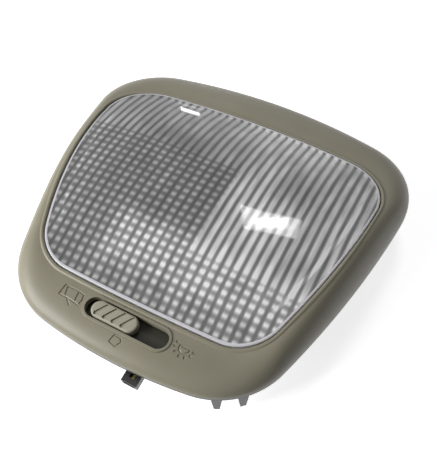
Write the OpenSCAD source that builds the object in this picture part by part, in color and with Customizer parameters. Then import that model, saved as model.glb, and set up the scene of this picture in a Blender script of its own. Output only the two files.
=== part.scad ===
// Car dome light with a moulded bezel, a clear fluted lens and a slide switch.
// Millimetres. +Z points out through the lens, +X runs along the switch slot and
// +Y runs from the switch edge to the far edge.
// The origin is the middle of the rim plane, the face that meets the roof lining.

/* [Bezel outline] */
// Half width between the bowed sides, level with their centres
half_w = 62; // [58:0.5:68]
// Distance from the origin to the far edge
far_edge = 58; // [54:0.5:62]
// Distance from the origin to the switch edge
near_edge = 60.1; // [58:0.5:64]
// Radius of the bowed sides
side_r = 334; // [280:2:400]
// Height of the centre of the bowed sides above the origin
side_centre_y = 58.6; // [50:0.2:66]
// Radius of the bowed far edge
far_r = 190; // [170:5:230]
// Radius of the bowed switch edge
near_r = 169.5; // [155:0.5:210]
// Radius of the two far corners
far_corner_r = 24.7; // [20:0.1:28]
// Radius of the two corners at the switch edge
near_corner_r = 26.4; // [22:0.1:30]

/* [Bezel section] */
// Width of the band beside the lens
side_band = 9.3; // [8.5:0.1:11]
// Width of the band at the far edge
far_band = 17.4; // [16:0.1:19]
// Width of the band that carries the switch
near_band = 16.8; // [16:0.1:19]
// Wall of the bezel
wall = 2; // [1.6:0.1:2.4]
// Straight height of the rim
rim_h = 1.8; // [1.2:0.1:2.6]
// Wall round the lens opening, above and beside the ledge
well_t = 1.6; // [1.4:0.1:2]
// Height of the face at the middle of the lens opening
face_h = 14.4; // [13.6:0.1:16]
// Radius of the face along Y
face_arch_r = 120; // [115:1:200]
// Radius of the face along X
face_cross_r = 1390; // [900:10:2000]
// Roundness of the band at the switch, 2 for an ellipse and more for a squarer section
crown_power = 2.25; // [2:0.05:3]
// Roundness of the band beside the lens
side_power = 1.75; // [1.6:0.05:2.6]
// Width of the lip round the lens
lip_w = 1.5; // [1:0.1:2]
// Height of the lip round the lens
lip_h = 0.45; // [0.2:0.05:0.8]

/* [Lens] */
// Radius of the sides of the lens opening
lens_side_r = 184.5; // [170:0.5:230]
// Height of the centre of those sides above the origin
lens_centre_y = 30.6; // [28:0.2:40]
// Radius of the far side of the lens opening
lens_far_r = 320; // [280:5:420]
// Radius of the side of the lens opening next to the switch
lens_near_r = 686; // [400:2:900]
// Corner radius of the lens opening at the far side
lens_far_corner = 18.2; // [15:0.1:20]
// Corner radius of the lens opening at the switch side
lens_near_corner = 16.2; // [14:0.1:19]
// Rise of the lens above the bezel's face
dome_h = 2; // [1.5:0.1:3.5]
// Distance from the rim over which the dome rises
dome_reach = 26; // [18:0.5:34]
// Thickness of the lens
lens_t = 1.8; // [1.4:0.1:2.4]
// Width of the plain rim of the lens
lens_rim = 2.6; // [2:0.1:3.5]
// Gap between the lens and the bezel
lens_gap = 0.3; // [0.2:0.05:0.4]
// Width of one flute
flute_pitch = 3; // [2.8:0.1:4]
// Depth of one flute
flute_depth = 0.7; // [0.4:0.05:0.9]
// Width of the ledge that carries the lens
ledge_w = 2; // [1.6:0.1:2.4]
// Depth of the ledge under the face
ledge_depth = 2.8; // [2.6:0.1:3.2]
// Thickness of the ledge
ledge_t = 1.6; // [1.2:0.1:2]

/* [Housing and reflector] */
// Depth of the rear housing behind the rim plane
housing_depth = 15; // [14:0.5:18]
// Wall of the rear housing
housing_wall = 1.8; // [1.4:0.1:2.2]
// How far the housing's walls draw in towards its floor
housing_taper = 8; // [6.5:0.1:9]
// Wall of the reflector
reflector_wall = 1.2; // [1:0.1:1.4]
// Depth of the reflector's floor behind the rim plane
reflector_depth = 8.5; // [8:0.1:9]
// How far the reflector's walls draw in towards its floor
reflector_taper = 12; // [10:0.5:14]
// Distance of the screw bosses at the far edge in from the sides
far_boss_inset = 32; // [30:0.5:36]
// Distance of the screw bosses at the switch edge in from the sides
near_boss_inset = 28.2; // [27:0.1:29]
// How far those bosses stand towards the lens from the middle of their band
near_boss_rise = 3.4; // [3:0.1:3.6]
// Diameter of the screw bosses
boss_d = 6.4; // [5.6:0.1:7]
// Shank diameter of the housing screws
screw_d = 2.9; // [2.5:0.1:3]
// Head diameter of the housing screws
screw_head_d = 5.4; // [5:0.1:6]
// Thickness of the screw ears of the housing
ear_t = 2; // [1.6:0.1:2.6]
// How far the ears run in past the edge of the lens opening
ear_in = 8; // [7:0.5:10]
// Gap round a screw in its bore
screw_gap = 0.05; // [0.03:0.01:0.1]

/* [Lamp] */
// Diameter of the lamp's glass
lamp_d = 10.5; // [9:0.1:11]
// Length of the lamp's glass between its caps
lamp_glass_l = 28; // [26:0.5:30]
// Diameter of the lamp's caps
cap_d = 7.4; // [6.4:0.1:8]
// Length of the straight part of a cap
cap_l = 4.2; // [3.5:0.1:5]
// Length of the cone at the end of a cap
cap_cone = 2.8; // [2.4:0.1:3.2]
// Height of the lamp's axis above the reflector's floor
lamp_rise = 7.5; // [7:0.1:8]
// Wall of the glass
glass_t = 0.7; // [0.5:0.1:1]
// Length of the coiled filament
filament_l = 12; // [8:0.5:16]
// Diameter of the coil
filament_d = 1; // [0.8:0.1:1.4]
// Diameter of the leads that hold the filament
lead_d = 0.5; // [0.4:0.1:0.7]
// Thickness of the spring contacts
contact_t = 0.5; // [0.4:0.1:0.7]
// Width of the spring contacts
contact_w = 8; // [7:0.1:9]

/* [Slide switch] */
// Distance from the switch edge of the bezel to the middle of the slot
slot_inset = 10.9; // [10.6:0.1:11.4]
// Length of the slot
slot_l = 28.6; // [27:0.1:31]
// Width of the slot
slot_w = 6.5; // [6.2:0.1:7]
// Length of the knob
knob_l = 16; // [14:0.1:17]
// Gap between the knob and the sides of the slot
knob_gap = 0.45; // [0.3:0.05:0.6]
// Height of the knob above the face
knob_rise = 0.7; // [0.4:0.1:1.5]
// Distance between the slanted grip grooves of the knob
grip_pitch = 3.1; // [2.6:0.1:3.6]
// Width of a grip groove
grip_w = 0.9; // [0.6:0.1:1.4]
// Depth of a grip groove
grip_depth = 0.45; // [0.2:0.05:0.6]
// Slant of the grip grooves from straight across, in degrees
grip_slant = 32; // [0:1:45]
// Travel from one position of the knob to the next
switch_step = 4.1; // [3.6:0.1:4.4]
// Width of the bead round the slot
bead_w = 0.9; // [0.6:0.1:1.2]
// Height of the bead round the slot
bead_h = 0.35; // [0.2:0.05:0.5]
// Depth of the slider plate under the face
plate_depth = 3.1; // [3:0.1:3.4]
// Thickness of the slider plate
plate_t = 1; // [0.8:0.1:1.2]
// Running gap of the slider
run_gap = 0.3; // [0.25:0.05:0.4]
// Depth of the switch base
base_h = 6.6; // [6:0.1:8]
// Wall of the switch base
base_wall = 1.4; // [1.2:0.1:1.6]
// Half length of the switch base
base_half_l = 13.2; // [12.8:0.1:14]
// How far the switch base reaches from the middle of the slot, to the switch edge
base_near = 6; // [5.8:0.1:6.2]
// How far the switch base reaches the other way
base_far = 3.1; // [3:0.1:3.2]
// Length of the carrier block under the knob
carrier_l = 14; // [13:0.1:14.4]
// Length of the knob's stem
stem_l = 6; // [5:0.1:7]
// Width of the knob's stem
stem_w = 2.6; // [2.2:0.1:2.8]
// Thickness of the contact bridge
bridge_t = 0.4; // [0.3:0.05:0.5]
// Length of the detent spring
spring_l = 20; // [18:0.5:21]
// Width of the detent spring's strip
spring_w = 2.4; // [2:0.1:2.8]
// Thickness of the detent spring's strip
spring_t = 0.25; // [0.2:0.05:0.3]
// Width of the detent spring's nose where it leaves the strip
nose_w = 4.4; // [3.6:0.1:5]
// Diameter of the posts that hold the switch base
post_d = 4.4; // [4:0.1:4.8]
// Distance of those posts beyond the slider's travel
post_gap = 3.8; // [3.6:0.1:4.4]
// Shank diameter of the switch screws
switch_screw_d = 2; // [1.8:0.1:2.2]
// Length of the switch screws
switch_screw_l = 3.4; // [3:0.1:4]
// Head diameter of the switch screws
switch_head_d = 3.8; // [3.4:0.1:4.2]

/* [Connector and fixings] */
// Width of the connector
plug_w = 5.3; // [5:0.1:6.5]
// Height of the connector
plug_h = 3; // [2.6:0.1:3.4]
// How far the connector reaches past the middle of the slot
plug_reach = 13.8; // [12:0.1:15]
// Distance of the connector from the middle, along the slot
plug_x = 7.8; // [6:0.05:9]
// Wall of the connector
plug_wall = 0.6; // [0.5:0.05:0.8]
// Pitch of the three terminals
pin_pitch = 1.3; // [1.2:0.05:1.4]
// Width of a terminal
pin_w = 0.8; // [0.6:0.05:0.9]
// Thickness of a terminal
pin_t = 0.4; // [0.3:0.05:0.5]
// Distance of the inner locating legs in from the sides
leg_inset = 29.1; // [27:0.1:32]
// Distance from an inner leg to the outer one
leg_pitch = 6.6; // [6:0.1:8]
// Length of the locating legs below the rim plane, on the right
leg_right_l = 11; // [8:0.5:12]
// Length of the locating legs below the rim plane, on the left
leg_left_l = 8; // [6:0.5:10]
// Width of a locating leg at its root
leg_w = 4.4; // [3:0.1:5]
// Width of a locating leg at its tip
leg_tip_w = 1.8; // [1:0.1:2.4]
// Thickness of a locating leg
leg_t = 1.4; // [1:0.1:1.8]
// Width of the retaining clips
clip_w = 10; // [8:0.5:12]
// Thickness of the retaining clips
clip_t = 0.6; // [0.5:0.1:0.8]
// Distance of the retaining clips from the origin towards the far edge
clip_y = 16; // [12:0.5:20]
// Gap between a free clip and the line of the rim's inner edge
clip_gap = 0.3; // [0.2:0.1:0.6]

/* [Hidden] */

greige = [0.64, 0.61, 0.53];
smoke_clear = [0.86, 0.88, 0.92, 0.45];
silvered = [0.78, 0.79, 0.81];
dark_grey = [0.25, 0.25, 0.26];
near_black = [0.08, 0.08, 0.09];
glass_clear = [0.9, 0.93, 0.95, 0.4];
nickel = [0.75, 0.73, 0.68];
brass = [0.80, 0.65, 0.35];
spring_steel = [0.62, 0.63, 0.65];

$fn = 32;
eps = 0.01;
// Steps along a long arc and round a corner of an outline
arc_n = 6;
corner_n = 8;
bezel_shape = [half_w, side_centre_y, side_r, far_edge, far_r, -near_edge, near_r,
               far_corner_r, near_corner_r];
lens_shape = [half_w - side_band, lens_centre_y, lens_side_r, far_edge - far_band,
              lens_far_r, near_band - near_edge, lens_near_r, lens_far_corner,
              lens_near_corner];

// Outlines of three bowed edges and their mirror image, joined by round corners
function meet(c1, r1, c2, r2, turn) =
    let (d = c2 - c1,
         l = norm(d),
         a = (l * l + r1 * r1 - r2 * r2) / (2 * l),
         h = sqrt(r1 * r1 - a * a),
         u = d / l)
    c1 + a * u + turn * h * [-u[1], u[0]];
function arc(c, r, a0, a1, n, last = 0) =
    [for (i = [0 : n - 1 + last])
        let (a = a0 + (a1 - a0) * i / n) [c[0] + r * cos(a), c[1] + r * sin(a)]];
function angle_to(a, b) = atan2(b[1] - a[1], b[0] - a[0]);
function half_outline(s, inset) =
    let (cs = [s[0] - s[2], s[1]],
         ct = [0, s[3] - s[4]],
         cb = [0, s[5] + s[6]],
         ft = meet(cs, s[2] - s[7], ct, s[4] - s[7], 1),
         fb = meet(cs, s[2] - s[8], cb, s[6] - s[8], -1),
         to_near = angle_to(cb, fb),
         from_near = angle_to(cs, fb),
         to_far = angle_to(cs, ft),
         from_far = angle_to(ct, ft))
    concat(arc(cb, s[6] - inset, -90, to_near, arc_n),
           arc(fb, s[8] - inset, to_near, from_near, corner_n),
           arc(cs, s[2] - inset, from_near, to_far, arc_n),
           arc(ft, s[7] - inset, to_far, from_far, corner_n),
           arc(ct, s[4] - inset, from_far, 90, arc_n, 1));
function outline(s, inset = 0) =
    let (r = half_outline(s, inset), n = len(r))
    concat(r, [for (i = [n - 2 : -1 : 1]) [-r[i][0], r[i][1]]]);

// Height of the arched face that the lens opening follows
function face_z(p) =
    face_h - p[0] * p[0] / (2 * face_cross_r) - p[1] * p[1] / (2 * face_arch_r);

// Solid between stacked rings, closed on itself or capped at both ends
module loft(rings, closed = false) {
    n = len(rings[0]);
    m = len(rings);
    sides = [for (j = [0 : m - (closed ? 1 : 2)])
        for (i = [0 : n - 1])
            let (a = j * n + i,
                 b = j * n + (i + 1) % n,
                 c = (j + 1) % m * n + (i + 1) % n,
                 d = (j + 1) % m * n + i)
            each [[a, c, b], [a, d, c]]];
    caps = closed ? [] : [[for (i = [0 : n - 1]) i],
                          [for (i = [n - 1 : -1 : 0]) (m - 1) * n + i]];
    polyhedron(points = [for (r = rings) each r], faces = concat(sides, caps), convexity = 8);
}

module pill(l, w, h) {
    linear_extrude(h) {
        square([l - w, w], center = true);
        for (side = [-1, 1])
            translate([side * (l - w) / 2, 0])
                circle(d = w, $fn = 48);
    }
}

// Bezel section, from the outer outline to the lens opening
outer_line = outline(bezel_shape);
inner_line = outline(lens_shape);
line_n = len(outer_line);
function across(i) = inner_line[i] - outer_line[i];
function band_at(i) = norm(across(i));
function from_edge(i, d) = outer_line[i] + across(i) / band_at(i) * d;
function from_lens(i, d) = inner_line[i] - across(i) / band_at(i) * d;
function edge_z(i) = face_z(inner_line[i]);
function band_ring(d, z) = [for (i = [0 : line_n - 1])
    let (p = from_edge(i, d)) [p[0], p[1], z]];
function lens_ring(d, drop) = [for (i = [0 : line_n - 1])
    let (p = from_lens(i, d)) [p[0], p[1], edge_z(i) - drop]];
// Ring of the crowned band at an angle of its rounded section
function power_at(i) =
    let (t = (band_at(i) - side_band) / (far_band - side_band))
    side_power + (crown_power - side_power) * min(1, max(0, t));
function crown_ring(a, start, end, base, drop) = [for (i = [0 : line_n - 1])
    let (w = band_at(i) - start - end,
         q = 2 / power_at(i),
         p = from_edge(i, start + w * (1 - pow(cos(a), q))),
         z = base + (edge_z(i) - drop - base) * pow(sin(a), q))
    [p[0], p[1], z]];

// Height and slope of the face where the switch sits
function crown_z(band, edge, d) =
    rim_h + (edge - rim_h)
    * pow(1 - pow(1 - d / (band - lip_w), crown_power), 1 / crown_power);
panel_edge_z = face_z([0, near_band - near_edge]);
function panel_face(d) = crown_z(near_band, panel_edge_z, d);
slot_y = slot_inset - near_edge;
panel_tilt = atan((panel_face(slot_inset + slot_w / 2) - panel_face(slot_inset - slot_w / 2))
                  / slot_w);
panel_z = panel_face(slot_inset);
module on_panel() {
    translate([0, slot_y, panel_z]) rotate([panel_tilt, 0, 0]) children();
}

// Places shared by the housing, the bezel and their screws
far_boss_y = far_edge - far_band / 2;
near_boss_y = near_band / 2 - near_edge + near_boss_rise;
far_boss_x = half_w - far_boss_inset;
near_boss_x = half_w - near_boss_inset;
boss_places = [[far_boss_x, far_boss_y], [-far_boss_x, far_boss_y],
               [near_boss_x, near_boss_y], [-near_boss_x, near_boss_y]];
ear_top = 0.6;
seat_gap = 0.1;
seat_drop = ledge_depth + ledge_t;
flange_drop = seat_drop + reflector_wall;
plate_lap = 0.7;
post_x = slot_l / 2 + 2 * switch_step + post_gap;
plate_half_l = slot_l / 2 + switch_step + plate_lap;
plate_y = [-slot_w / 2 - plate_lap - seat_gap, slot_w / 2 + plate_lap / 3];
base_top = -plate_depth - plate_t - run_gap;
base_end = base_top - base_h;
carrier_y = [-stem_w, stem_w / 2 + run_gap];
cavity_y = [base_wall - base_near, carrier_y[1] + run_gap];
cavity_end = base_end + base_wall;
plug_top = cavity_end + pin_t / 2 + plug_h / 2;

module bezel() {
    crown_angles = [12, 24, 36, 48, 62, 76, 90];
    inner_angles = [90, 64, 42, 20];
    rings = concat(
        [band_ring(0, 0), band_ring(0, rim_h)],
        [for (a = crown_angles) crown_ring(a, 0, lip_w, rim_h, 0)],
        [lens_ring(lip_w - 0.35, -lip_h),
         lens_ring(0.4, -lip_h),
         lens_ring(0, 0.3 - lip_h),
         lens_ring(0, ledge_depth),
         lens_ring(-ledge_w, ledge_depth),
         lens_ring(-ledge_w, seat_drop),
         lens_ring(well_t, seat_drop)],
        [for (a = inner_angles) crown_ring(a, wall, well_t, rim_h / 2, wall)],
        [band_ring(wall, 0)]
    );
    // Space under the middle of the wall, which the bosses fill up to
    core = concat(
        [band_ring(wall / 2, -housing_depth), band_ring(wall / 2, rim_h / 2)],
        [for (a = [20, 42, 64, 90]) crown_ring(a, wall / 2, well_t / 2, rim_h / 2, wall / 2)],
        [lens_ring(well_t / 2, face_h)]
    );
    color(greige) difference() {
        union() {
            loft(rings, closed = true);
            on_panel() translate([0, 0, -wall / 2])
                pill(slot_l + 2 * bead_w, slot_w + 2 * bead_w, wall / 2 + bead_h);
            intersection() {
                loft(core, closed = true);
                union() {
                    for (p = boss_places)
                        translate([p[0], p[1], ear_top])
                            cylinder(d = boss_d, h = face_h);
                    for (side = [-1, 1])
                        on_panel() translate([side * post_x, 0, base_top])
                            cylinder(d = post_d, h = face_h);
                }
            }
            locating_legs();
        }
        on_panel() translate([0, 0, -wall - 2])
            pill(slot_l, slot_w, wall + 4);
        for (p = boss_places)
            translate([p[0], p[1], ear_top - 1])
                cylinder(d = screw_d + 2 * screw_gap, h = screw_l - ear_t + 1.4);
        for (side = [-1, 1])
            on_panel() translate([side * post_x, 0, base_top - 1])
                cylinder(d = switch_screw_d + 2 * screw_gap, h = 3);
        // Room for the connector where it passes the rim
        on_panel() translate([plug_x - plug_w / 2 - run_gap, -2 * plug_reach,
                              plug_top - plug_h - run_gap])
            cube([plug_w + 2 * run_gap, 2 * plug_reach - base_near, plug_h + 2 * run_gap]);
    }
}

// Pointed legs inside the rim that find the edge of the roof cut-out
leg_x = half_w - leg_inset;
leg_top = rim_h / 2 + 1.5;
rim_middle = half_outline(bezel_shape, wall / 2);
function rim_middle_y(x) = lookup(x, [for (i = [0 : arc_n + corner_n]) rim_middle[i]]);
function rim_turn(x) = atan((rim_middle_y(x + 1) - rim_middle_y(x - 1)) / 2);
module leg(l) {
    translate([0, wall / 6 + leg_t, 0]) rotate([90, 0, 0]) linear_extrude(leg_t)
        polygon([[-leg_w / 2, leg_top], [-leg_w / 2, -0.5], [-leg_tip_w / 2, -l],
                 [leg_tip_w / 2, -l], [leg_w / 2, -0.5], [leg_w / 2, leg_top]]);
}
module locating_legs() {
    for (side = [-1, 1])
        for (k = [0, 1])
            let (x = leg_x + k * leg_pitch)
            translate([side * x, rim_middle_y(x), 0]) rotate([0, 0, side * rim_turn(x)])
                leg(side > 0 ? leg_right_l : leg_left_l);
}

// Lens: a smooth dome over parallel flutes, carried on a plain rim with a skirt
lens_in = half_outline(lens_shape, lens_gap + lens_rim);
lens_out = half_outline(lens_shape, lens_gap);
lens_x = [for (p = lens_in) p[0]];
lens_max_x = max(lens_x);
lens_turn = search(lens_max_x, lens_x)[0];
lens_last = len(lens_in) - 1;
lens_sides = [[0, lens_turn], [lens_turn, lens_last]];
function lens_table(side, values) =
    [for (i = [lens_sides[side][0] : lens_sides[side][1]]) [lens_x[i], values[i]]];
lens_y = [for (p = lens_in) p[1]];
lens_nx = [for (i = [0 : lens_last]) (lens_out[i][0] - lens_in[i][0]) / lens_rim];
lens_ny = [for (i = [0 : lens_last]) (lens_out[i][1] - lens_in[i][1]) / lens_rim];
edge_tables = [for (side = [0, 1])
    [for (v = [lens_y, lens_nx, lens_ny]) lens_table(side, v)]];
function lens_edge_y(x, side) = lookup(abs(x), edge_tables[side][0]);
function lens_normal(x, side) =
    [sign(x) * lookup(abs(x), edge_tables[side][1]), lookup(abs(x), edge_tables[side][2])];

// Distance inside a bowed edge, and the dome that rises from all four edges
function rise(d) = 1 - pow(1 - min(1, max(0, d) / dome_reach), 2);
function inside(p, c, r) = r - lens_gap - lens_rim - norm(p - c);
function dome_z(p) =
    let (s = lens_shape, m = [abs(p[0]), p[1]])
    face_z(p) + lens_proud + dome_h
    * rise(inside(m, [s[0] - s[2], s[1]], s[2]))
    * rise(inside(m, [0, s[3] - s[4]], s[4]))
    * rise(inside(m, [0, s[5] + s[6]], s[6]));
lens_proud = 0.25;
flute_cuts = 4;
flute_form = [0, 0.72, 1, 0.72];
lens_rows = 6;
skirt_t = 1.4;
lens_half_cols = floor((lens_max_x - 0.3) / flute_pitch * flute_cuts);
lens_cols = concat([-lens_max_x],
    [for (i = [-lens_half_cols : lens_half_cols]) i * flute_pitch / flute_cuts],
    [lens_max_x]);
function flute(x) =
    flute_depth * flute_form[round(abs(x) / flute_pitch * flute_cuts) % flute_cuts];
module lens() {
    nc = len(lens_cols) - 1;
    nr = lens_rows;
    per = (nc - 1) * (nr + 1) + 2;
    function place(i, j) =
        let (x = lens_cols[i], a = lens_edge_y(x, 0), b = lens_edge_y(x, 1))
        [x, a + (b - a) * j / nr];
    function id(i, j) = i == 0 ? 0 : i == nc ? per - 1 : 1 + (i - 1) * (nr + 1) + j;
    grid = concat([place(0, 0)],
                  [for (i = [1 : nc - 1]) for (j = [0 : nr]) place(i, j)],
                  [place(nc, 0)]);
    top = [for (p = grid) [p[0], p[1], dome_z(p)]];
    under = [for (p = grid) [p[0], p[1], dome_z(p) - lens_t - flute(p[0])]];
    // Loop of grid points round the panel, with the way out at each
    loop = concat([for (i = [0 : nc]) [id(i, 0), i, 0]],
                  [for (i = [nc - 1 : -1 : 1]) [id(i, nr), i, 1]]);
    n = len(loop);
    function way(l) =
        l[0] == 0 ? [-1, 0] : l[0] == per - 1 ? [1, 0] : lens_normal(lens_cols[l[1]], l[2]);
    function rim_loop(d, drop, seated) = [for (l = loop)
        let (g = grid[l[0]],
             w = way(l),
             p = g + w * d,
             seat = g + w * (lens_rim + lens_gap))
        [p[0], p[1], seated ? face_z(seat) - ledge_depth + seat_gap : top[l[0]][2] - drop]];
    rims = [rim_loop(lens_rim - 0.5, 0.05, false),
            rim_loop(lens_rim, 0.4, false),
            rim_loop(lens_rim, 0, true),
            rim_loop(lens_rim - skirt_t, 0, true),
            rim_loop(lens_rim - skirt_t, lens_t, false)];
    function cells(base, flip) = [for (i = [0 : nc - 1]) for (j = [0 : nr - 1])
        let (a = base + id(i, j), b = base + id(i + 1, j),
             c = base + id(i + 1, j + 1), d = base + id(i, j + 1))
        each [if (a != b && b != c && i > 0 || i == 0) flip ? [a, b, c] : [a, c, b],
              if (i > 0 && i < nc - 1 || i == nc - 1) flip ? [a, c, d] : [a, d, c]]];
    ids = concat([[for (l = loop) l[0]]],
                 [for (k = [0 : len(rims) - 1]) [for (i = [0 : n - 1]) 2 * per + k * n + i]],
                 [[for (l = loop) per + l[0]]]);
    walls = [for (k = [0 : len(ids) - 2]) for (i = [0 : n - 1])
        let (a = ids[k][i], b = ids[k][(i + 1) % n],
             c = ids[k + 1][(i + 1) % n], d = ids[k + 1][i])
        each [[a, b, c], [a, c, d]]];
    faces = [for (f = concat(cells(0, false), cells(per, true), walls))
        if (f[0] != f[1] && f[1] != f[2] && f[2] != f[0]) f];
    color(smoke_clear)
        polyhedron(points = concat(top, under, [for (r = rims) each r]), faces = faces,
                   convexity = 6);
}

// Bowl walls of the reflector and the rear housing
function bowl_ring(inset, drop, a, taper, floor_z) =
    [for (p = outline(lens_shape, inset + taper * (1 - cos(a))))
        [p[0], p[1], (face_z(p) - drop) * (1 - sin(a)) + floor_z * sin(a)]];
bowl_angles = [8, 30, 52, 72, 90];
module reflector() {
    inner = ledge_w + 0.3;
    outer = inner - reflector_wall;
    down = [for (i = [len(bowl_angles) - 1 : -1 : 0]) bowl_angles[i]];
    color(silvered) difference() {
        loft(concat(
            [for (a = down)
                bowl_ring(outer, flange_drop, a, reflector_taper,
                          -reflector_depth - reflector_wall)],
            [lens_ring(-outer, flange_drop),
             lens_ring(well_t - 0.2, flange_drop),
             lens_ring(well_t - 0.2, seat_drop + seat_gap),
             lens_ring(-inner, seat_drop + seat_gap)],
            [for (a = bowl_angles)
                bowl_ring(inner, seat_drop, a, reflector_taper, -reflector_depth)]));
        for (side = [-1, 1])
            translate([side * contact_x - contact_t / 2 - run_gap,
                       lamp_y - contact_w / 2 - run_gap, -reflector_depth - 3])
                cube([contact_t + 2 * run_gap, contact_w + 2 * run_gap, 6]);
    }
}

housing_out = 0.1 - well_t;
floor_z = housing_wall - housing_depth;
module rear_housing() {
    inner = housing_out + housing_wall;
    down = [for (i = [len(bowl_angles) - 1 : -1 : 0]) bowl_angles[i]];
    color(dark_grey) difference() {
        union() {
            loft(concat(
                [for (a = down)
                    bowl_ring(housing_out, flange_drop, a, housing_taper, -housing_depth)],
                [lens_ring(-housing_out, flange_drop + seat_gap),
                 lens_ring(-inner, flange_drop + seat_gap)],
                [for (a = bowl_angles)
                    bowl_ring(inner, flange_drop, a, housing_taper, floor_z)]));
            difference() {
                union() {
                    for (p = boss_places)
                        ear(p);
                    for (side = [-1, 1])
                        clip_pad(side);
                }
                // The middle of the wall, where the ears and pads end
                loft(concat([for (a = down) bowl_ring(inner - housing_wall / 2, flange_drop, a,
                                                      housing_taper, floor_z - housing_wall / 2)],
                            [lens_ring(housing_wall / 2 - inner, 0)]));
            }
        }
        for (p = boss_places)
            translate([p[0], p[1], ear_top - ear_t - 1])
                cylinder(d = screw_d + 6 * screw_gap, h = ear_t + 2);
        // Slots for the two strips
        for (x = [feed_x, switched_x])
            translate([x - strip_w / 2 - run_gap, -near_edge, strip_z - run_gap])
                cube([strip_w + 2 * run_gap, near_edge, strip_t + 2 * run_gap]);
    }
}
ear_w = boss_d + 0.4;
module ear(p) {
    far = p[1] > 0;
    end = far ? far_edge - far_band - ear_in : near_band - near_edge + ear_in;
    translate([p[0], p[1], ear_top - ear_t]) {
        cylinder(d = ear_w, h = ear_t);
        translate([-ear_w / 2, far ? end - p[1] : 0, 0])
            cube([ear_w, abs(end - p[1]), ear_t]);
    }
}

// Festoon lamp between two spring contacts
lamp_y = 0;
lamp_z = lamp_rise - reflector_depth;
lamp_end = lamp_glass_l / 2 + cap_l + cap_cone;
contact_in = 1.2;
contact_x = lamp_end - contact_in;
tip_d = 2;
function cone_r(x) = let (t = (lamp_end - x) / cap_cone) tip_d / 2 + t * (cap_d - 0.8 - tip_d) / 2;
module on_lamp_axis() { translate([0, lamp_y, lamp_z]) rotate([0, 90, 0]) children(); }
module lamp_glass() {
    r = lamp_d / 2;
    neck = cap_d / 2 - 0.5;
    h = lamp_glass_l / 2;
    outer = concat([[neck, -h]],
        [for (a = [0 : 18 : 90]) [neck + (r - neck) * sin(a), -h + 1.2 + 2.6 * (1 - cos(a))]]);
    side = concat(outer, [for (i = [len(outer) - 1 : -1 : 0]) [outer[i][0], -outer[i][1]]]);
    inside = [for (i = [len(side) - 1 : -1 : 0]) [side[i][0] - glass_t, side[i][1]]];
    color(glass_clear) on_lamp_axis()
        rotate_extrude() polygon(concat(side, inside));
}
module lamp_cap(side) {
    start = lamp_glass_l / 2;
    neck = cap_d / 2 - 0.5 + eps;
    color(nickel) on_lamp_axis() mirror([0, 0, side < 0 ? 1 : 0])
        rotate_extrude() polygon([[0, start + 0.8], [neck, start + 0.8], [neck, start - 1],
            [cap_d / 2, start - 1], [cap_d / 2, start + cap_l - 0.4],
            [cap_d / 2 - 0.4, start + cap_l], [tip_d / 2, lamp_end], [0, lamp_end]]);
}
module lamp_cap_left() { lamp_cap(-1); }
module lamp_cap_right() { lamp_cap(1); }
module lamp_filament() {
    h = lamp_glass_l / 2 + 0.8;
    color(nickel) on_lamp_axis() {
        cylinder(d = filament_d, h = filament_l, center = true, $fn = 24);
        for (side = [-1, 1])
            translate([0, 0, side > 0 ? filament_l / 2 : -h])
                cylinder(d = lead_d, h = h - filament_l / 2, $fn = 24);
    }
}
// Outline of a bent strip of even thickness along a path
function strip_side(path, k) =
    [for (i = [0 : len(path) - 1])
        let (a = path[max(0, i - 1)], b = path[i], c = path[min(len(path) - 1, i + 1)],
             u = i == 0 ? (c - b) / norm(c - b) : (b - a) / norm(b - a),
             v = i == len(path) - 1 ? u : (c - b) / norm(c - b),
             m = [-u[1] - v[1], u[0] + v[0]],
             n = m / norm(m))
        b + k * n / max(0.3, n * [-u[1], u[0]])];
function strip_outline(path, t) =
    let (a = strip_side(path, t / 2), b = strip_side(path, -t / 2))
    concat(a, [for (i = [len(b) - 1 : -1 : 0]) b[i]]);
foot_l = 6;
module lamp_contact(side) {
    low = floor_z + contact_t / 2;
    high = lamp_z + 4.5;
    path = [[contact_x - foot_l, low], [contact_x, low], [contact_x, high - 1],
            [contact_x + 1.2, high + 0.8]];
    hole = cone_r(contact_x - contact_t / 2);
    color(brass) mirror([side < 0 ? 1 : 0, 0, 0]) difference() {
        translate([0, lamp_y + contact_w / 2, 0]) rotate([90, 0, 0])
            linear_extrude(contact_w) polygon(strip_outline(path, contact_t));
        translate([contact_x - 1, lamp_y, lamp_z]) rotate([0, 90, 0])
            cylinder(r = hole + 0.02, h = 2);
    }
}
module lamp_contact_left() { lamp_contact(-1); }
module lamp_contact_right() { lamp_contact(1); }

// Strips from the lamp's contacts to the switch base
strip_w = 4;
strip_t = 0.5;
strip_z = panel_z + cavity_end + pin_t / 2;
// Bend points of a strip that climbs the housing's wall: share of the taper, and of the climb
strip_bends = [[1.15, 0], [0.81, 0.1], [0.54, 0.3], [0.29, 0.67]];
feed_x = contact_x - foot_l - strip_w / 2 - 0.1;
switched_x = -feed_x;
module strip(x) {
    low = floor_z + strip_t / 2;
    high = strip_z + strip_t / 2;
    run_y = near_band - near_edge;
    path = concat([[lamp_y + contact_w / 2, low]],
        [for (b = strip_bends) [run_y + b[0] * housing_taper, low + b[1] * (high - low)]],
        [[run_y + 1.5, high - strip_t], [run_y + 0.8, high],
         [slot_y + cavity_y[1] + 0.9, high]]);
    color(brass) translate([x - strip_w / 2, 0, 0])
        rotate([90, 0, 90]) linear_extrude(strip_w) polygon(strip_outline(path, strip_t));
}
module feed_strip() { strip(feed_x); }
module switched_strip() { strip(switched_x); }

// Slide switch, drawn with its knob in the left position
module slid() { on_panel() translate([-switch_step, 0, 0]) children(); }
knob_w = slot_w - 2 * knob_gap;
knob_bottom = -1.9;
knob_edge = 0.3;
stem_end = base_top - 1.8;
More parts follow.
